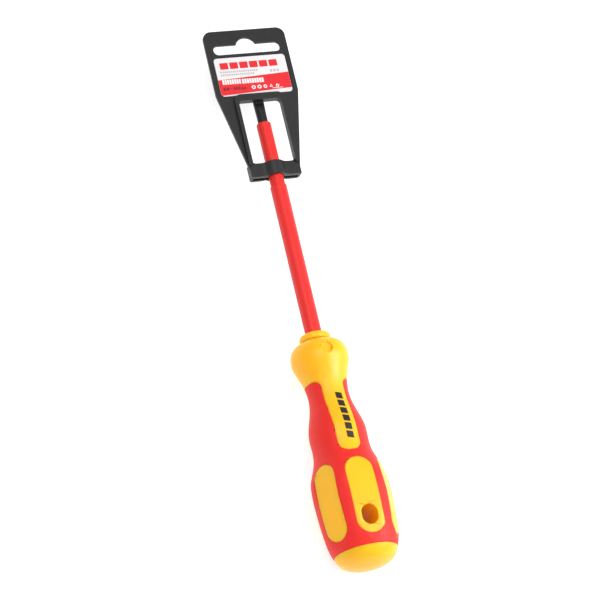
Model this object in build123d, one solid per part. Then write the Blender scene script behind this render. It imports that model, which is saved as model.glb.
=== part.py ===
from build123d import *
import math
import os

# An insulated slotted screwdriver packed on its shop hanger, in millimetres.
# Origin at the middle of the blade's tip edge. +Y runs along the blade, out of the
# tip; +Z is up, square to the tip's flat, to the hanger's panel and to the handle's
# front pad; X is across.  "station" is a distance from the handle's rear end.

# ---- Driving dimensions: lengths along the tool ----
BLADE_REACH = 125.0        # from the handle's front face to the tip
HANDLE_LENGTH = 113.0
EXPOSED_STEEL = 17.0       # bare tip beyond the insulation
OUTER_SLEEVE_REACH = 75.5  # from the handle's front face to the insulation's step
SLEEVE_EMBEDDED = 22.0     # insulation inside the handle
SHANK_EMBEDDED = 62.0      # steel inside the handle

# ---- Driving dimensions: blade and insulation ----
SHANK_RADIUS = 2.4
TIP_WIDTH = 5.5
TIP_THICKNESS = 1.0
FLARE_LENGTH = 12.5        # stretch over which the shank widens to the tip
GRIND_LENGTH = 11.5        # hollow-ground stretch
TIP_PARALLEL = 6.6         # parallel stretch next to the tip edge
INNER_SLEEVE_RADIUS = 3.43
OUTER_SLEEVE_RADIUS = 3.9
SLEEVE_END_ROUND = 0.75
SLEEVE_STEP_ROUND = 0.35
WING_SPAN = 8.4            # coined wings that lock the shank in the handle
WING_THICKNESS = 2.2
WING_LENGTH = 9.0
WING_CHAMFER = 2.5
WING_STATIONS = (58.0, 76.0)

# ---- Driving dimensions: handle ----
BELLY_RADIUS = 17.9
UPPER_GRIP_RADIUS = 13.1
NECK_RADIUS = 9.45
GUARD_RADIUS = 13.4
BEAD_RADIUS = 7.25
GROOVE_RADIUS = 6.95
GUARD_STATION = 101.3
GROOVE_STATION = 109.3
GROOVE_FLOOR = 0.2
BEAD_STATION = 110.9
GRIP_THICKNESS = 2.2
GRIP_REAR = 7.7            # station of the red and yellow joint at the dome
GRIP_FRONT = 88.4          # station of the grip's front lobes
PAD_COUNT = 6
PAD_HALF_WIDTH = 6.1
PAD_REAR = 12.4
PAD_FRONT = 48.3
FLAT_REAR = (8.0, 15.1)    # flats under the pads: station and height above the axis
FLAT_MIDDLE = (28.0, 16.85)
FLAT_FRONT = (49.0, 15.4)
HOLE_STATION = 20.7        # tether hole through the handle
HOLE_HALF_WIDTH = 3.85
HOLE_STRAIGHT = 1.6
HOLE_PAD_HALF_WIDTH = 6.5
HOLE_PAD_RADIUS = 6.9
HOLE_PAD_SHIFT = 0.3
HOLE_PAD_BACK = 1.5        # how far the boss sits behind the hole
TONGUE_HALF_WIDTH = 5.2
TONGUE_REAR = 52.5
TONGUE_ROUND = 4.2
LOBE_ROUND = 3.4
DIMPLE_STATION = 102.0
DIMPLE_RADIUS = 2.5
DIMPLE_DEPTH = 1.1

# ---- Driving dimensions: hanger ----
PANEL_BACK = 0.6           # height of the panel's back face above the blade's axis
PANEL_THICKNESS = 1.4
PANEL_TOP = 31.9
PANEL_HALF_WIDTH = 20.4
PANEL_CORNER = 4.2
TAPER_START = -1.6
COLLAR_HALF_WIDTH = 12.3
COLLAR_TOP = -37.8
COLLAR_BOTTOM = -44.6
TAPER_END = -41.0
TAPER_START_ROUND = 5.0
TAPER_END_ROUND = 8.0
SLOT_Y = 21.9
SLOT_LENGTH = 33.2
SLOT_HEIGHT = 5.0
HUMP_RADIUS = 5.2
HUMP_RISE = 0.6
LABEL_BOTTOM = -2.2
LABEL_TOP = 17.7
LABEL_HALF_WIDTH = 17.7
LABEL_CORNER = 1.6
LABEL_THICKNESS = 0.2
RECESS_DEPTH = 0.35
RECESS_MARGIN = 0.4
WINDOW_HALF_WIDTH = 10.5
WINDOW_TOP = -5.6
WINDOW_CORNER = 1.8
RIM_WIDTH = 1.9
RIM_TOP_WIDTH = 3.35
RIM_CORNER = 3.4
RIM_FRONT = 3.2
RIM_BACK = -0.4
BAND_THICKNESS = 1.2
BAND_CLEARANCE = 0.35      # round the insulation inside the collar
BAND_FLAT_HALF_WIDTH = 7.0
BAND_ARCH_HALF_TURN = 48.0 # degrees each side of upright that hug the insulation
SLIT_TOP = -0.2            # heights of the slit at the collar's two ends
SLIT_BOTTOM = -2.4
COLLAR_BACK = -3.8
COLLAR_BACK_CORNER = 1.7
POCKET_CLEARANCE = 0.1
POCKET_WALL = 1.3
POCKET_HALF_WIDTH = 5.2
POCKET_START = -2.3
POCKET_END = 2.9

COLLAR_FACE_Y = -BLADE_REACH
REAR_Y = COLLAR_FACE_Y - HANDLE_LENGTH
PANEL_FRONT = PANEL_BACK + PANEL_THICKNESS
THROUGH = 60.0             # longer than anything it cuts
OVERCUT = 1.0              # how far a cutter runs past the face it starts from
FUSE = 0.2                 # how far one moulded body reaches into the next
CLOSE = 0.01               # tolerance for picking edges and corners by their place
BLANK_SEAM = 4             # turns, in degrees, that keep the turned surfaces' seams apart
ROOM_SEAM = -5
COLLAR_PLANE = Plane((0, COLLAR_BOTTOM, 0), x_dir=(1, 0, 0), z_dir=(0, -1, 0))

os.makedirs("parts", exist_ok=True)


def station_y(station):
    return REAR_Y + station


def along_y(radius, start_y, end_y):
    """A round bar on the blade's axis."""
    bar = Cylinder(radius, end_y - start_y, align=(Align.CENTER, Align.CENTER, Align.MIN))
    return Pos(0, start_y) * Rot(-90, 0, 0) * bar


def at_turn(radius, turn):
    """Point on a circle about the origin, "turn" radians from the upright axis."""
    return (radius * math.sin(turn), radius * math.cos(turn))


def spin(face, seam_turn):
    """Turn a half outline, drawn in the XY plane, about the blade's axis.

    "seam_turn" moves the surface's seam, so that two turned solids never share one.
    """
    return Rot(0, seam_turn, 0) * revolve(face, axis=Axis.Y)


def upright(sketch, bottom_z, top_z):
    """Raise an outline drawn in plan (X, Y)."""
    return extrude(Pos(0, 0, bottom_z) * sketch, amount=top_z - bottom_z)


def slab(half_width, bottom_y, top_y):
    height = top_y - bottom_y
    return Pos(0, bottom_y + height / 2) * Rectangle(2 * half_width, height)


# ---- Blade ----
def ground_side_cutter():
    """What the grinding wheel takes off one side of the tip, as a profile in (Y, Z)."""
    half = TIP_THICKNESS / 2
    root = (-GRIND_LENGTH, SHANK_RADIUS)
    rise = SHANK_RADIUS - half
    run = GRIND_LENGTH - TIP_PARALLEL
    wheel_radius = (run ** 2 + rise ** 2) / (2 * rise)
    above = 2 * SHANK_RADIUS
    with BuildSketch(Plane.YZ) as profile:
        with BuildLine():
            RadiusArc(root, (-TIP_PARALLEL, half), wheel_radius)
            Polyline((-TIP_PARALLEL, half), (OVERCUT, half), (OVERCUT, above), (-GRIND_LENGTH, above), root)
        make_face()
    return extrude(profile.sketch, amount=TIP_WIDTH, both=True)


def wing(station):
    """A flat pair of ears coined out of the shank inside the handle."""
    with BuildSketch() as plan:
        Rectangle(WING_SPAN, WING_LENGTH)
        chamfer(plan.vertices(), WING_CHAMFER)
    ears = extrude(plan.sketch, amount=WING_THICKNESS / 2, both=True)
    return Pos(0, station_y(station)) * ears


def make_blade():
    flare_root = along_y(SHANK_RADIUS, COLLAR_FACE_Y - SHANK_EMBEDDED, -FLARE_LENGTH)
    shank_end = Plane((0, -FLARE_LENGTH, 0), x_dir=(1, 0, 0), z_dir=(0, 1, 0))
    tip_end = Plane((0, 0, 0), x_dir=(1, 0, 0), z_dir=(0, 1, 0))
    round_end = shank_end * Circle(SHANK_RADIUS).face()
    wide_end = tip_end * Ellipse(TIP_WIDTH / 2, SHANK_RADIUS).face()
    flare = loft([round_end, wide_end])
    blade = flare_root + flare
    for station in WING_STATIONS:
        blade += wing(station)
    cutter = ground_side_cutter()
    return blade - cutter - mirror(cutter, about=Plane.XY)


# ---- Insulation ----
def make_sleeve(inner_radius, outer_radius, end_y, end_round):
    tube = along_y(outer_radius, COLLAR_FACE_Y - SLEEVE_EMBEDDED, end_y)
    front_edge = tube.edges().sort_by(Axis.Y)[-1]
    return fillet(front_edge, end_round) - along_y(inner_radius, REAR_Y, end_y + OVERCUT)


# ---- Handle ----
# Radius and station of the turned handle: its dome, the stretch that the grip covers,
# and the guard's shoulders.
DOME = [(0.0, 0.0), (BELLY_RADIUS - 6.3, 3.2), (BELLY_RADIUS - 2.9, 8.6)]
GRIPPED = [
    (BELLY_RADIUS - 0.8, 18.0),
    (BELLY_RADIUS, 30.0),
    (BELLY_RADIUS - 0.5, 43.0),
    (UPPER_GRIP_RADIUS + 1.0, 51.5),
    (UPPER_GRIP_RADIUS, 57.0),
    (UPPER_GRIP_RADIUS, 65.5),
    (NECK_RADIUS + 1.5, 74.0),
    (NECK_RADIUS, 81.5),
]
GUARD = [
    (GUARD_RADIUS - 2.2, 93.0),
    (GUARD_RADIUS, GUARD_STATION),
    (GUARD_RADIUS - 0.5, GUARD_STATION + 3.0),
    (GUARD_RADIUS - 1.6, GUARD_STATION + 5.2),
    (GROOVE_RADIUS + 2.8, GROOVE_STATION - 1.1),
    (GROOVE_RADIUS, GROOVE_STATION),
]
BEAD = [
    (GROOVE_RADIUS, GROOVE_STATION + GROOVE_FLOOR),
    (BEAD_RADIUS, BEAD_STATION),
    (BEAD_RADIUS - 0.2, HANDLE_LENGTH - 0.8),
    (BEAD_RADIUS - 1.1, HANDLE_LENGTH),
]
GRIP_BACK_EDGE = (BELLY_RADIUS - 3.4, GRIP_REAR)
GRIP_FRONT_EDGE = (NECK_RADIUS + 0.6, GRIP_FRONT)


def placed(stations, inset=0.0):
    """Outline points (X, Y) for a list of radii and stations, drawn in by "inset"."""
    return [(radius - inset, station_y(station)) for radius, station in stations]


def handle_outline():
    """Half outline of the turned handle: dome, belly, neck, guard, groove and bead."""
    body = placed(DOME + GRIPPED + GUARD)
    bead = placed(BEAD)
    with BuildSketch() as outline:
        with BuildLine():
            Spline(body, tangents=[(1, 0), (-1, 0.35)], tangent_scalars=[0.5, 0.5])
            Line(body[-1], bead[0])
            Spline(bead)
            Polyline(bead[-1], (0, COLLAR_FACE_Y), (0, REAR_Y))
        make_face()
    return outline.sketch


def grip_room_outline():
    """Half outline of a ring that reaches from the hard core's surface to far outside."""
    points = placed([GRIP_BACK_EDGE] + GRIPPED + [GRIP_FRONT_EDGE], inset=GRIP_THICKNESS)
    far = THROUGH / 2
    with BuildSketch() as outline:
        with BuildLine():
            Spline(points)
            Polyline(points[-1], (far, points[-1][1]), (far, points[0][1]), points[0])
        make_face()
    return outline.sketch


def pad_flat():
    """The flat cut for one pad: level across, gently barrelled along the handle."""
    points = [(station_y(station), height) for station, height in (FLAT_REAR, FLAT_MIDDLE, FLAT_FRONT)]
    above = THROUGH / 2
    with BuildSketch(Plane.YZ) as profile:
        with BuildLine():
            ThreePointArc(*points)
            Polyline(points[2], (points[2][0], above), (points[0][0], above), points[0])
        make_face()
    return extrude(profile.sketch, amount=2 * PAD_HALF_WIDTH, both=True)


def round_the_handle(solid, turns):
    return [Rot(0, turn * 360 / PAD_COUNT, 0) * solid for turn in turns]


def tether_hole():
    plan = Pos(0, station_y(HOLE_STATION)) * Rot(0, 0, 90) * SlotCenterToCenter(
        HOLE_STRAIGHT, 2 * HOLE_HALF_WIDTH)
    return upright(plan, -THROUGH / 2, THROUGH / 2)


def dimple():
    plan = Pos(0, station_y(DIMPLE_STATION)) * Circle(DIMPLE_RADIUS)
    return upright(plan, GUARD_RADIUS - DIMPLE_DEPTH, GUARD_RADIUS + OVERCUT)


def make_handle_blank():
    blank = spin(handle_outline(), BLANK_SEAM)
    for flat in round_the_handle(pad_flat(), range(PAD_COUNT)):
        blank -= flat
    return blank - dimple() - tether_hole()


def plain_pad():
    """Upright prism over one stadium-shaped pad."""
    middle = station_y((PAD_REAR + PAD_FRONT) / 2)
    straight = PAD_FRONT - PAD_REAR - 2 * PAD_HALF_WIDTH
    plan = Pos(0, middle) * Rot(0, 0, 90) * SlotCenterToCenter(straight, 2 * PAD_HALF_WIDTH)
    return upright(plan, 0, THROUGH / 2)


def holed_pad():
    """Prism over the pad that ends in a round boss about the tether hole."""
    hole_y = station_y(HOLE_STATION - HOLE_PAD_BACK)
    front_y = station_y(PAD_FRONT) - HOLE_PAD_HALF_WIDTH
    strip = slab(HOLE_PAD_HALF_WIDTH, hole_y, front_y)
    front_end = Pos(0, front_y) * Circle(HOLE_PAD_HALF_WIDTH)
    boss = Pos(HOLE_PAD_SHIFT, hole_y) * Circle(HOLE_PAD_RADIUS)
    boss &= slab(HOLE_PAD_HALF_WIDTH, hole_y - 2 * HOLE_PAD_RADIUS, hole_y + HOLE_PAD_RADIUS)
    return upright(strip + front_end + boss, 0, THROUGH / 2)


def tongues():
    """Prism through the handle: bare neck in front of the lobes, and a tongue between them."""
    rear_y = station_y(TONGUE_REAR)
    lobe_y = station_y(GRIP_FRONT)
    front_y = station_y(HANDLE_LENGTH)
    far = THROUGH / 2
    with BuildSketch() as plan:
        with BuildLine():
            Polyline(
                (-far, lobe_y),
                (-TONGUE_HALF_WIDTH, lobe_y),
                (-TONGUE_HALF_WIDTH, rear_y),
                (TONGUE_HALF_WIDTH, rear_y),
                (TONGUE_HALF_WIDTH, lobe_y),
                (far, lobe_y),
                (far, front_y),
                (-far, front_y),
                close=True,
            )
        make_face()
        at_lobes = [v for v in plan.vertices() if abs(v.Y - lobe_y) < CLOSE and abs(v.X) < far / 2]
        fillet(at_lobes, LOBE_ROUND)
        at_end = [v for v in plan.vertices() if abs(v.Y - rear_y) < CLOSE]
        fillet(at_end, TONGUE_ROUND)
    return upright(plan.sketch, -THROUGH / 2, THROUGH / 2)


def make_grip_room():
    """The space that the soft grip takes up, left solid over the pads and the tongues."""
    room = spin(grip_room_outline(), ROOM_SEAM) - tongues()
    front_and_back = (0, PAD_COUNT // 2)
    sides = [turn for turn in range(PAD_COUNT) if turn not in front_and_back]
    for pad in round_the_handle(plain_pad(), sides) + round_the_handle(holed_pad(), front_and_back):
        room -= pad
    return room


# ---- Hanger ----
def panel_plan():
    """Plan of the panel and the two wings that run down to the collar."""
    collar_x = COLLAR_HALF_WIDTH
    with BuildSketch() as plan:
        with BuildLine():
            Polyline(
                (-PANEL_HALF_WIDTH, TAPER_START),
                (-PANEL_HALF_WIDTH, PANEL_TOP),
                (PANEL_HALF_WIDTH, PANEL_TOP),
                (PANEL_HALF_WIDTH, TAPER_START),
                (collar_x, TAPER_END),
                (collar_x, COLLAR_BOTTOM),
                (-collar_x, COLLAR_BOTTOM),
                (-collar_x, TAPER_END),
                close=True,
            )
        make_face()
        top_corners = plan.vertices().group_by(Axis.Y)[-1]
        fillet(top_corners, PANEL_CORNER)
        kinks = [v for v in plan.vertices() if abs(v.Y - TAPER_START) < CLOSE]
        fillet(kinks, TAPER_START_ROUND)
        feet = [v for v in plan.vertices() if abs(v.Y - TAPER_END) < CLOSE]
        fillet(feet, TAPER_END_ROUND)
    return plan.sketch


def euro_slot():
    """Wide hanging slot with a round hump in the middle of its upper edge."""
    slot = Pos(0, SLOT_Y) * SlotOverall(SLOT_LENGTH, SLOT_HEIGHT)
    hump = Pos(0, SLOT_Y + HUMP_RISE) * Circle(HUMP_RADIUS)
    hump &= slab(HUMP_RADIUS, SLOT_Y, SLOT_Y + 2 * HUMP_RADIUS)
    return slot + hump


def window_plan():
    plan = slab(WINDOW_HALF_WIDTH, COLLAR_TOP, WINDOW_TOP)
    return fillet(plan.vertices(), WINDOW_CORNER)


def rim_plan():
    """The raised border: a bar above the window and a leg down each side of it."""
    low = COLLAR_TOP - OVERCUT
    plan = slab(WINDOW_HALF_WIDTH + RIM_WIDTH, low, WINDOW_TOP + RIM_TOP_WIDTH)
    top_corners = plan.vertices().group_by(Axis.Y)[-1]
    return fillet(top_corners, RIM_CORNER) - slab(WINDOW_HALF_WIDTH, low - OVERCUT, WINDOW_TOP - RIM_WIDTH)


def arched_section(half_width, level, side):
    """Half of the collar's section in (X, Z), on one side (1 front, -1 back) of the axis.

    It is level at the ends and arched round the insulation.
    """
    arch_radius = INNER_SLEEVE_RADIUS + BAND_CLEARANCE + BAND_THICKNESS
    half_turn = math.radians(BAND_ARCH_HALF_TURN)
    foot = at_turn(arch_radius, half_turn)
    downhill = (math.cos(half_turn), -math.sin(half_turn))
    flat_end = (BAND_FLAT_HALF_WIDTH, level)
    with BuildSketch(COLLAR_PLANE) as section:
        with BuildLine():
            ThreePointArc((0, arch_radius), at_turn(arch_radius, half_turn / 2), foot)
            Spline([foot, flat_end], tangents=[downhill, (1, 0)])
            Polyline(flat_end, (half_width, level), (half_width, 0), (0, 0), (0, arch_radius))
        make_face()
        mirror(about=Plane.YZ)
    return section.sketch if side > 0 else mirror(section.sketch, about=Plane.XY)


def collar():
    """The tube that slides on the insulation, solid right through."""
    front = arched_section(COLLAR_HALF_WIDTH, PANEL_FRONT, 1)
    back = arched_section(COLLAR_HALF_WIDTH, -COLLAR_BACK, -1)
    tube = extrude(front + back, amount=COLLAR_BOTTOM - COLLAR_TOP)
    lengthwise = tube.edges().filter_by(Axis.Y)
    at_back = [edge for edge in lengthwise if abs(edge.center().Z - COLLAR_BACK) < CLOSE]
    back_corners = [edge for edge in at_back if abs(edge.center().X) > COLLAR_HALF_WIDTH - CLOSE]
    return fillet(back_corners, COLLAR_BACK_CORNER)


def collar_room():
    """The bore for the insulation, with a slit out to each end of the collar."""
    half_width = COLLAR_HALF_WIDTH - BAND_THICKNESS
    slit = Pos(0, (SLIT_TOP + SLIT_BOTTOM) / 2) * Rectangle(2 * half_width, SLIT_TOP - SLIT_BOTTOM)
    bore = Circle(INNER_SLEEVE_RADIUS + BAND_CLEARANCE)
    return extrude(COLLAR_PLANE * (slit + bore), amount=COLLAR_BOTTOM - COLLAR_TOP)


def tip_pocket():
    """Back of the pocket that the tip stands in, closed at its upper end."""
    back = -(TIP_THICKNESS / 2 + POCKET_CLEARANCE + POCKET_WALL)
    shell = upright(slab(POCKET_HALF_WIDTH, POCKET_START, POCKET_END), back, PANEL_BACK + FUSE)
    hollow = slab(TIP_WIDTH / 2 + POCKET_CLEARANCE, WINDOW_TOP - OVERCUT, 0)
    half = TIP_THICKNESS / 2 + POCKET_CLEARANCE
    mouth = upright(hollow, -half, half)
    return shell, mouth


def label_plan(margin):
    plan = slab(LABEL_HALF_WIDTH + margin, LABEL_BOTTOM - margin, LABEL_TOP + margin)
    return fillet(plan.vertices(), LABEL_CORNER + margin)


def make_hanger():
    shell, mouth = tip_pocket()
    hanger = upright(panel_plan() - euro_slot(), PANEL_BACK, PANEL_FRONT)
    recess = upright(label_plan(RECESS_MARGIN), PANEL_FRONT - RECESS_DEPTH, PANEL_FRONT + OVERCUT)
    hanger -= recess
    hanger += upright(rim_plan(), RIM_BACK, RIM_FRONT)
    hanger += collar()
    hanger += shell
    hanger -= upright(window_plan(), -THROUGH / 2, THROUGH / 2)
    hanger -= collar_room()
    return hanger - mouth


def make_label():
    floor = PANEL_FRONT - RECESS_DEPTH
    return upright(label_plan(0), floor, floor + LABEL_THICKNESS)


def save(solid, node):
    solid.label = node
    export_step(solid, f"parts/{node}.step")


blade = make_blade()
inner_end_y = -EXPOSED_STEEL
outer_end_y = COLLAR_FACE_Y + OUTER_SLEEVE_REACH
inner_insulation = make_sleeve(SHANK_RADIUS, INNER_SLEEVE_RADIUS, inner_end_y, SLEEVE_END_ROUND)
outer_insulation = make_sleeve(INNER_SLEEVE_RADIUS, OUTER_SLEEVE_RADIUS, outer_end_y, SLEEVE_STEP_ROUND)
handle_blank = make_handle_blank()
grip_room = make_grip_room()
soft_grip = handle_blank & grip_room
blade_room = along_y(OUTER_SLEEVE_RADIUS, COLLAR_FACE_Y - SLEEVE_EMBEDDED, 0)
handle_body = handle_blank - grip_room - blade - blade_room

save(blade, "blade")
save(inner_insulation, "inner_insulation")
save(outer_insulation, "outer_insulation")
save(handle_body, "handle_body")
save(soft_grip, "soft_grip")
save(make_hanger(), "hanger")
save(make_label(), "hanger_label")
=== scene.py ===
import math

import bmesh
import bpy
from mathutils import Matrix, Vector
from mathutils.bvhtree import BVHTree


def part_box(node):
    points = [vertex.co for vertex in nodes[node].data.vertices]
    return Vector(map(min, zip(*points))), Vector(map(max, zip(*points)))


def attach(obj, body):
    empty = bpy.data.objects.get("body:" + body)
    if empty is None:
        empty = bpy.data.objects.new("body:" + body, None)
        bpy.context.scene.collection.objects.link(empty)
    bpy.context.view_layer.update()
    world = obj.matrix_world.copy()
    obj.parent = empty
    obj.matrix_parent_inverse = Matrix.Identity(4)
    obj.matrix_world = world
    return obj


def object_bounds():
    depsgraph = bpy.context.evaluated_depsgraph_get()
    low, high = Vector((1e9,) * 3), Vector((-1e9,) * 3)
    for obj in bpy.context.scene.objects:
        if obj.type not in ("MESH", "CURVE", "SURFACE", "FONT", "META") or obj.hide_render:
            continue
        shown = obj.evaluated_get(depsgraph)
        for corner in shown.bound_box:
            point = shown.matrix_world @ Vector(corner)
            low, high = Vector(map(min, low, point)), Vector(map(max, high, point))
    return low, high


# An insulated slotted screwdriver packed on its shop hanger, seen from above and
# behind the handle on a white table.  Everything is in metres in the CAD frame:
# origin at the blade's tip edge, +Y out along the blade, +Z square to the hanger.

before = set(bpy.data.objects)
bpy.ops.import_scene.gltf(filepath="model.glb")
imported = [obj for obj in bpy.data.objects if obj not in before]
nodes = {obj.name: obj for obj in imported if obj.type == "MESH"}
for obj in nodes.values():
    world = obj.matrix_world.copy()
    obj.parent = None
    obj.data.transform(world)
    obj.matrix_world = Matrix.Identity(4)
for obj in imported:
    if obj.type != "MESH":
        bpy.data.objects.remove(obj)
cad_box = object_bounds()
MM = 0.001

# ---- Camera ----
AIM = Vector((-0.0026, -0.1070, 0.0))
CAMERA_DISTANCE = 1.3746
LEAN = math.radians(19.92)       # the camera leans back over the handle
SIDE_TURN = math.radians(-20.54) # and stands to the left of the blade
ROLL = math.radians(13.41)       # the blade's lean in the picture
LENS = 180.0
SENSOR = 36.0

# ---- Light ----
SKY_STRENGTH = 0.66
FLOOR_GLOW = 0.70

# ---- Edges ----
SEAM_ROUND = 0.22 * MM
HANGER_ROUND = 0.06 * MM         # wider makes folds where the panel meets the collar
WELD_DISTANCE = 0.002 * MM

# ---- Print: plain blocks and bars stand in for all lettering ----
INK = 0.02 * MM
STRIPE_SLOPE = 0.05              # the label's red stripe climbs to the right
STRIPE_TOP = 7.27                # its two edges at the label's middle, in millimetres
STRIPE_BOTTOM = -0.92
LABEL_CORNER = 1.55
CORNER_STEPS = 4
ICON_PLACES = (-1.1, 1.8, 4.7, 7.6, 10.8)
ICON_SIDES = (24, 24, 6, 3, 4)
MARK_X = 1.5                     # the handle's printed mark, in millimetres
MARK_WIDTH = 3.2
MARK_FRONT = -156.8
MARK_BLOCKS = 6
MARK_PITCH = 4.0
MARK_LENGTH = 3.15
MARK_SLANT = 0.7
MARK_DRIFT = 0.02                # how far the column leans, per unit of length
MARK_STEPS_ALONG = 10
MARK_STEPS_ACROSS = 8
LABEL_EDGE = 0.05                # bare paper round the stripe
LETTER_GAP = 0.35
ICON_Y = 1.5
ICON_RADIUS = 1.0
ICON_HOLE = 0.5

# ---- Floor ----
FLOOR_HALF = 1.6
FLOOR_DEPTH = 0.02


# ---------------------------------------------------------------- small tools

def linear(red, green, blue):
    """A colour given as it looks, 0 to 255, as the linear numbers that shaders take."""
    def channel(value):
        value = value / 255
        return value / 12.92 if value <= 0.04045 else ((value + 0.055) / 1.055) ** 2.4
    return (channel(red), channel(green), channel(blue), 1.0)


class Finish:
    """A procedural material being built: its node tree, its shader and its coordinates."""

    def __init__(self, name, base, roughness, **sockets):
        self.material = bpy.data.materials.new(name)
        self.material.use_nodes = True
        self.material.diffuse_color = base
        self.tree = self.material.node_tree
        self.shader = next(n for n in self.tree.nodes if n.type == "BSDF_PRINCIPLED")
        self.shader.inputs["Base Color"].default_value = base
        self.shader.inputs["Roughness"].default_value = roughness
        for socket, value in sockets.items():
            self.shader.inputs[socket.replace("_", " ")].default_value = value
        self.place = self.tree.nodes.new("ShaderNodeTexCoord").outputs["Object"]

    def node(self, kind, inputs=None, **settings):
        made = self.tree.nodes.new("ShaderNode" + kind)
        for name, value in settings.items():
            setattr(made, name, value)
        for name, value in (inputs or {}).items():
            self.feed(made.inputs[name], value)
        return made

    def feed(self, socket, value):
        if isinstance(value, bpy.types.NodeSocket):
            self.tree.links.new(value, socket)
        else:
            socket.default_value = value

    def stretched(self, along):
        """Coordinates squeezed by a factor along each axis, to draw a pattern out into lines."""
        return self.node("Mapping", {"Vector": self.place, "Scale": along}).outputs["Vector"]

    def noise(self, grain, detail=3.0, along=None):
        """Noise whose patches are about `grain` metres across."""
        where = self.stretched(along) if along else self.place
        return self.node(
            "TexNoise", {"Vector": where, "Scale": 1 / grain, "Detail": detail}
        ).outputs["Fac"]

    def cells(self, grain):
        return self.node(
            "TexVoronoi", {"Vector": self.place, "Scale": 1 / grain}
        ).outputs["Distance"]

    def spread(self, factor, low, high, start=0.3, end=0.7):
        """The factor between start and end, spread from low to high."""
        return self.node("MapRange", {
            "Value": factor, "From Min": start, "From Max": end, "To Min": low, "To Max": high,
        }).outputs["Result"]

    def mix(self, factor, first, second):
        made = self.node("Mix", data_type="RGBA")
        colours = [s for s in made.inputs if s.type == "RGBA"]
        self.feed(made.inputs[0], factor)
        self.feed(colours[0], first)
        self.feed(colours[1], second)
        return next(s for s in made.outputs if s.type == "RGBA")

    def add(self, first, second, share):
        """first + second * share"""
        return self.node(
            "Math", {0: second, 1: share, 2: first}, operation="MULTIPLY_ADD"
        ).outputs[0]

    def bump(self, height, depth):
        made = self.node("Bump", {"Height": height, "Distance": depth, "Strength": 1.0})
        self.feed(self.shader.inputs["Normal"], made.outputs["Normal"])

    def colour(self, socket):
        self.feed(self.shader.inputs["Base Color"], socket)

    def roughness(self, socket):
        self.feed(self.shader.inputs["Roughness"], socket)


def shade(obj, finish):
    """Gives every face of the piece this finish."""
    if obj.material_slots:
        for slot in obj.material_slots:
            slot.material = finish.material
    else:
        obj.data.materials.append(finish.material)


# ------------------------------------------------------------------ materials

def yellow_plastic():
    made = Finish("yellow_moulded_plastic", linear(255, 184, 8), 0.36,
                  Specular_IOR_Level=0.4, Subsurface_Weight=0.6, Subsurface_Scale=7 * MM,
                  Subsurface_Radius=(1.0, 0.4, 0.03))
    patches = made.noise(9 * MM, 2)
    made.colour(made.mix(made.spread(patches, 0, 1), linear(255, 181, 6), linear(255, 187, 11)))
    grain = made.noise(0.35 * MM, 4)
    made.roughness(made.spread(made.noise(2.5 * MM, 5), 0.30, 0.42))
    made.bump(grain, 0.012 * MM)
    return made


def soft_grip_rubber():
    made = Finish("red_soft_grip_rubber", linear(228, 34, 26), 0.5, Specular_IOR_Level=0.35)
    patches = made.noise(7 * MM, 3)
    made.colour(made.mix(made.spread(patches, 0, 1), linear(225, 31, 24), linear(232, 37, 29)))
    made.roughness(made.spread(made.noise(1.6 * MM, 5), 0.46, 0.58))
    made.bump(made.add(made.noise(0.25 * MM, 3), made.cells(0.4 * MM), 0.5), 0.02 * MM)
    return made


def red_insulation():
    made = Finish("red_insulation", linear(222, 35, 31), 0.38, Specular_IOR_Level=0.4)
    lines = made.noise(0.6 * MM, 3, along=(1.0, 0.06, 1.0))
    made.colour(made.mix(made.spread(lines, 0, 1), linear(218, 33, 28), linear(226, 38, 34)))
    made.roughness(made.spread(made.noise(2.0 * MM, 4), 0.33, 0.47))
    made.bump(lines, 0.015 * MM)
    return made


def black_steel():
    made = Finish("black_oxide_steel", linear(40, 39, 41), 0.4, Metallic=0.6, Specular_IOR_Level=0.4)
    across = made.noise(0.12 * MM, 3, along=(0.04, 1.0, 0.4))
    made.colour(made.mix(made.spread(made.noise(1.2 * MM, 4), 0, 1),
                         linear(32, 31, 33), linear(50, 48, 50)))
    made.roughness(made.spread(across, 0.32, 0.55))
    made.bump(across, 0.006 * MM)
    return made


def hanger_plastic():
    made = Finish("black_hanger_plastic", linear(22, 21, 23), 0.42, Specular_IOR_Level=0.5)
    patches = made.noise(6 * MM, 4)
    made.colour(made.mix(made.spread(patches, 0, 1), linear(19, 18, 20), linear(25, 24, 26)))
    made.roughness(made.spread(made.noise(0.8 * MM, 5), 0.34, 0.5))
    made.bump(made.add(made.noise(0.22 * MM, 3), made.cells(0.3 * MM), 0.6), 0.025 * MM)
    return made


def label_paper():
    made = Finish("coated_label_paper", linear(213, 210, 211), 0.42, Specular_IOR_Level=0.4)
    fibres = made.noise(0.5 * MM, 5, along=(0.35, 1.0, 1.0))
    made.colour(made.mix(made.spread(fibres, 0, 1), linear(210, 207, 208), linear(216, 213, 214)))
    made.roughness(made.spread(fibres, 0.36, 0.5))
    made.bump(fibres, 0.006 * MM)
    return made


def ink(name, dark, light):
    """Printing ink with the slight mottle of a press."""
    made = Finish(name, light, 0.4, Specular_IOR_Level=0.4)
    mottle = made.noise(0.4 * MM, 4)
    made.colour(made.mix(made.spread(mottle, 0, 1), dark, light))
    made.roughness(made.spread(mottle, 0.34, 0.48))
    return made


def white_floor():
    made = Finish("white_table", (0.5, 0.5, 0.5, 1.0), 0.9, Specular_IOR_Level=0.0)
    made.colour(made.mix(made.spread(made.noise(0.3, 2), 0, 1),
                         (0.49, 0.49, 0.49, 1.0), (0.51, 0.51, 0.51, 1.0)))
    made.shader.inputs["Emission Color"].default_value = (1.0, 1.0, 1.0, 1.0)
    made.shader.inputs["Emission Strength"].default_value = FLOOR_GLOW
    return made


# ------------------------------------------------------------ shapes and print

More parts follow.
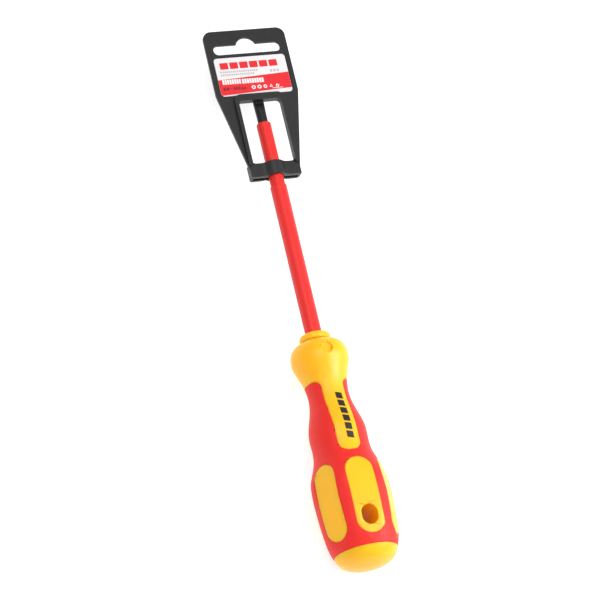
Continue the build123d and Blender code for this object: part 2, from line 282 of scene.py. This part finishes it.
def soften(node, width, angle=40):
    """Rounds a CAD node's sharp edges, as moulding leaves them."""
    weld = node.modifiers.new("weld", "WELD")
    weld.merge_threshold = WELD_DISTANCE
    bevel = node.modifiers.new("round_edges", "BEVEL")
    bevel.width = width
    bevel.segments = 3
    bevel.limit_method = "ANGLE"
    bevel.angle_limit = math.radians(angle)
    bevel.harden_normals = False
    bevel.use_clamp_overlap = False
    normals = node.modifiers.new("even_normals", "WEIGHTED_NORMAL")
    normals.keep_sharp = False
    for face in node.data.polygons:
        face.use_smooth = True


def new_piece(name, mesh_builder, body, finish):
    """A piece made from a bmesh that the builder has filled, riding on a body."""
    mesh = bpy.data.meshes.new(name)
    mesh_builder.to_mesh(mesh)
    mesh_builder.free()
    obj = bpy.data.objects.new(name, mesh)
    bpy.context.scene.collection.objects.link(obj)
    shade(obj, finish)
    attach(obj, body)
    return obj


def rounded_box(left, right, bottom, top, radius=0.25):
    """Outline of a box with round corners, anticlockwise, in millimetres."""
    points = []
    corners = ((right, top, 0), (left, top, 90), (left, bottom, 180), (right, bottom, 270))
    for corner_x, corner_y, first_turn in corners:
        centre_x = corner_x - math.copysign(radius, corner_x - (left + right) / 2)
        centre_y = corner_y - math.copysign(radius, corner_y - (bottom + top) / 2)
        for step in range(CORNER_STEPS + 1):
            turn = math.radians(first_turn + 90 * step / CORNER_STEPS)
            points.append((centre_x + radius * math.cos(turn), centre_y + radius * math.sin(turn)))
    return points


def polygon(centre_x, centre_y, radius, sides):
    turns = [2 * math.pi * (step + 0.25 * (sides == 4)) / sides + math.pi / 2 for step in range(sides)]
    return [(centre_x + radius * math.cos(t), centre_y + radius * math.sin(t)) for t in turns]


def clip(points, slope, height, keep_above):
    """The part of an outline above or below the line y = height + slope * x."""
    def side(point):
        rise = point[1] - height - slope * point[0]
        return rise if keep_above else -rise
    kept = []
    for first, second in zip(points, points[1:] + points[:1]):
        here, there = side(first), side(second)
        if here >= 0:
            kept.append(first)
        if here * there < 0:
            share = here / (here - there)
            kept.append(tuple(a + (b - a) * share for a, b in zip(first, second)))
    return kept


def blocks(left, right, bottom, top, count, gap):
    """A row of equal blocks, which stands in for a word."""
    pitch = (right - left + gap) / count
    return [
        rounded_box(left + pitch * i, left + pitch * (i + 1) - gap, bottom, top, min(0.2, gap))
        for i in range(count)
    ]


def slab(builder, outline, height, hole=None):
    """A closed film of ink over an outline, or between it and a hole of as many points."""
    rings = []
    for level in (height, height + INK):
        for loop in (outline, hole):
            if loop:
                rings.append([builder.verts.new((x * MM, y * MM, level)) for x, y in loop])
    around = range(len(outline))
    if hole:
        low_out, low_in, high_out, high_in = rings
        walls = ((low_out, high_out), (high_out, high_in), (high_in, low_in), (low_in, low_out))
    else:
        low_out, high_out = rings
        walls = ((low_out, high_out),)
        builder.faces.new(low_out)
        builder.faces.new(high_out)
    for first, second in walls:
        for i in around:
            builder.faces.new((first[i - 1], first[i], second[i], second[i - 1]))


def print_on_label(name, outlines, layer, finish, rings=()):
    """Ink in plain shapes on the label; a higher layer lies over a lower one."""
    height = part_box("hanger_label")[1].z + INK * layer
    builder = bmesh.new()
    for outline in outlines:
        slab(builder, outline, height)
    for outline, hole in rings:
        slab(builder, outline, height, hole)
    bmesh.ops.recalc_face_normals(builder, faces=builder.faces)
    new_piece(name, builder, "hanger", finish)


def label_artwork():
    """A red stripe that climbs across the label, with rows of blocks where text would be."""
    low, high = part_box("hanger_label")
    left, right, bottom, top = (v / MM for v in (low.x, high.x, low.y, high.y))
    label = rounded_box(left + LABEL_EDGE, right - LABEL_EDGE, bottom + LABEL_EDGE, top - LABEL_EDGE,
                        LABEL_CORNER)
    stripe = clip(label, STRIPE_SLOPE, STRIPE_TOP, False)
    stripe = clip(stripe, STRIPE_SLOPE, STRIPE_BOTTOM, True)
    red = ink("label_red_ink", linear(205, 28, 36), linear(213, 34, 42))
    white = ink("label_white_ink", linear(226, 221, 221), linear(232, 228, 228))
    grey = ink("label_grey_ink", linear(160, 158, 160), linear(178, 176, 178))
    dark = ink("label_dark_red_ink", linear(120, 14, 24), linear(140, 22, 32))
    brand_row = blocks(left + 2.4, right - 4.5, 11.8, 15.2, 6, 0.75)
    print_on_label("label_red_print", [stripe] + brand_row, 0, red)
    small_lines = blocks(left + 1.9, 2.7, 9.85, 10.85, 18, LETTER_GAP)
    small_lines += blocks(left + 1.9, 0.7, 8.3, 9.3, 16, LETTER_GAP)
    print_on_label("label_grey_print", small_lines + blocks(8.9, 13.2, 8.8, 10.1, 3, 0.6), 0, grey)
    heading = blocks(left + 1.9, -6.7, 3.85, 6.35, 8, 0.3) + blocks(-6.1, 4.6, 3.75, 6.2, 9, 0.3)
    underline = rounded_box(8.0, 13.3, 0.2, 0.45, 0.1)
    rings = [
        (polygon(x, ICON_Y, ICON_RADIUS, sides), polygon(x, ICON_Y, ICON_HOLE, sides))
        for x, sides in zip(ICON_PLACES, ICON_SIDES)
    ]
    print_on_label("label_white_print", heading + [underline], 1, white, rings)
    size_line = blocks(left + 1.6, left + 4.5, 0.75, 2.3, 2, LETTER_GAP)
    size_line += blocks(left + 5.2, left + 5.8, 1.2, 1.8, 1, 0.1)
    size_line += blocks(left + 6.6, left + 10.0, 0.75, 2.3, 3, LETTER_GAP)
    size_line += blocks(left + 10.6, left + 12.9, 0.75, 1.9, 2, LETTER_GAP)
    print_on_label("label_dark_print", size_line, 1, dark)


def handle_mark():
    """A column of six slanted black blocks printed down the handle's front tongue."""
    surface = BVHTree.FromObject(nodes["handle_body"], bpy.context.evaluated_depsgraph_get())
    builder = bmesh.new()
    along_steps, across_steps = MARK_STEPS_ALONG, MARK_STEPS_ACROSS
    for block in range(MARK_BLOCKS):
        front = MARK_FRONT - block * MARK_PITCH
        layers = {}
        for lift in (-INK, INK):
            for i in range(along_steps + 1):
                for j in range(across_steps + 1):
                    across = j / across_steps - 0.5
                    x = MARK_X - MARK_DRIFT * (MARK_FRONT - front) + MARK_WIDTH * across
                    y = front - MARK_LENGTH * i / along_steps - MARK_SLANT * across
                    hit, normal, _, _ = surface.ray_cast(Vector((x * MM, y * MM, 0.1)), Vector((0, 0, -1)))
                    layers[lift > 0, i, j] = builder.verts.new(hit + normal * lift)
        rim = [(i, 0) for i in range(along_steps)]
        rim += [(along_steps, j) for j in range(across_steps)]
        rim += [(i, across_steps) for i in range(along_steps, 0, -1)]
        rim += [(0, j) for j in range(across_steps, 0, -1)]
        for above in (True, False):
            for i in range(along_steps):
                for j in range(across_steps):
                    corners = ((i, j), (i + 1, j), (i + 1, j + 1), (i, j + 1))
                    builder.faces.new([layers[(above, *corner)] for corner in corners])
        for first, second in zip(rim, rim[1:] + rim[:1]):
            builder.faces.new((layers[(True, *first)], layers[(True, *second)],
                               layers[(False, *second)], layers[(False, *first)]))
    bmesh.ops.recalc_face_normals(builder, faces=builder.faces)
    black = ink("handle_black_ink", linear(30, 20, 12), linear(42, 28, 18))
    piece = new_piece("handle_print", builder, "driver", black)
    for face in piece.data.polygons:
        face.use_smooth = True


# ----------------------------------------------------------------- the objects

finish_of = {
    "blade": black_steel(),
    "inner_insulation": red_insulation(),
    "handle_body": yellow_plastic(),
    "soft_grip": soft_grip_rubber(),
    "hanger": hanger_plastic(),
    "hanger_label": label_paper(),
}
finish_of["outer_insulation"] = finish_of["inner_insulation"]
for name, finish in finish_of.items():
    shade(nodes[name], finish)
for name in ("handle_body", "soft_grip"):
    soften(nodes[name], SEAM_ROUND)
soften(nodes["hanger"], HANGER_ROUND)
label_artwork()
handle_mark()


# ------------------------------------------------------------ floor and lights

def floor():
    """A white table top under the tool, with gently rounded edges."""
    low, high = cad_box
    middle = (low + high) / 2
    builder = bmesh.new()
    bmesh.ops.create_cube(builder, size=1.0)
    bmesh.ops.scale(builder, vec=(2 * FLOOR_HALF, 2 * FLOOR_HALF, FLOOR_DEPTH), verts=builder.verts)
    bmesh.ops.bevel(builder, geom=builder.edges[:], offset=FLOOR_DEPTH / 4, segments=3, affect="EDGES")
    mesh = bpy.data.meshes.new("white_table")
    builder.to_mesh(mesh)
    builder.free()
    table = bpy.data.objects.new("white_table", mesh)
    bpy.context.scene.collection.objects.link(table)
    table.location = (middle.x, middle.y, low.z - FLOOR_DEPTH / 2)
    shade(table, white_floor())


def camera_axes():
    """The picture's right, up and towards-the-camera directions."""
    toward = Vector((
        math.cos(LEAN) * math.sin(SIDE_TURN),
        -math.sin(LEAN),
        math.cos(LEAN) * math.cos(SIDE_TURN),
    ))
    blade = Vector((0, 1, 0))
    along = (blade - toward * blade.dot(toward)).normalized()
    across = along.cross(toward)
    up = along * math.cos(ROLL) + across * math.sin(ROLL)
    right = across * math.cos(ROLL) - along * math.sin(ROLL)
    return right, up, toward


def camera(right, up, toward):
    data = bpy.data.cameras.new("camera")
    data.lens = LENS
    data.sensor_width = SENSOR
    data.clip_start = 0.05
    data.clip_end = 20
    seen_from = bpy.data.objects.new("camera", data)
    bpy.context.scene.collection.objects.link(seen_from)
    place = Matrix((right, up, toward)).transposed().to_4x4()
    place.translation = AIM + toward * CAMERA_DISTANCE
    seen_from.matrix_world = place
    bpy.context.scene.camera = seen_from


def softbox(name, direction, distance, size, power):
    data = bpy.data.lights.new(name, "AREA")
    data.shape = "RECTANGLE"
    data.size, data.size_y = size
    data.energy = power
    lamp = bpy.data.objects.new(name, data)
    bpy.context.scene.collection.objects.link(lamp)
    away = direction.normalized()
    lamp.location = AIM + away * distance
    lamp.rotation_mode = "QUATERNION"
    lamp.rotation_quaternion = away.to_track_quat("Z", "Y")


def sky():
    world = bpy.data.worlds.new("white_studio")
    world.use_nodes = True
    background = world.node_tree.nodes["Background"]
    background.inputs["Color"].default_value = (1.0, 1.0, 1.0, 1.0)
    background.inputs["Strength"].default_value = SKY_STRENGTH
    bpy.context.scene.world = world


right, up, toward = camera_axes()
camera(right, up, toward)
floor()
sky()
softbox("window_right", right * 0.9 + up * 0.15 + toward * 0.45, 1.1, (0.5, 0.9), 12)
softbox("overhead", toward + up * 0.5, 1.5, (0.8, 0.8), 6)
bpy.context.scene.view_settings.view_transform = "Standard"
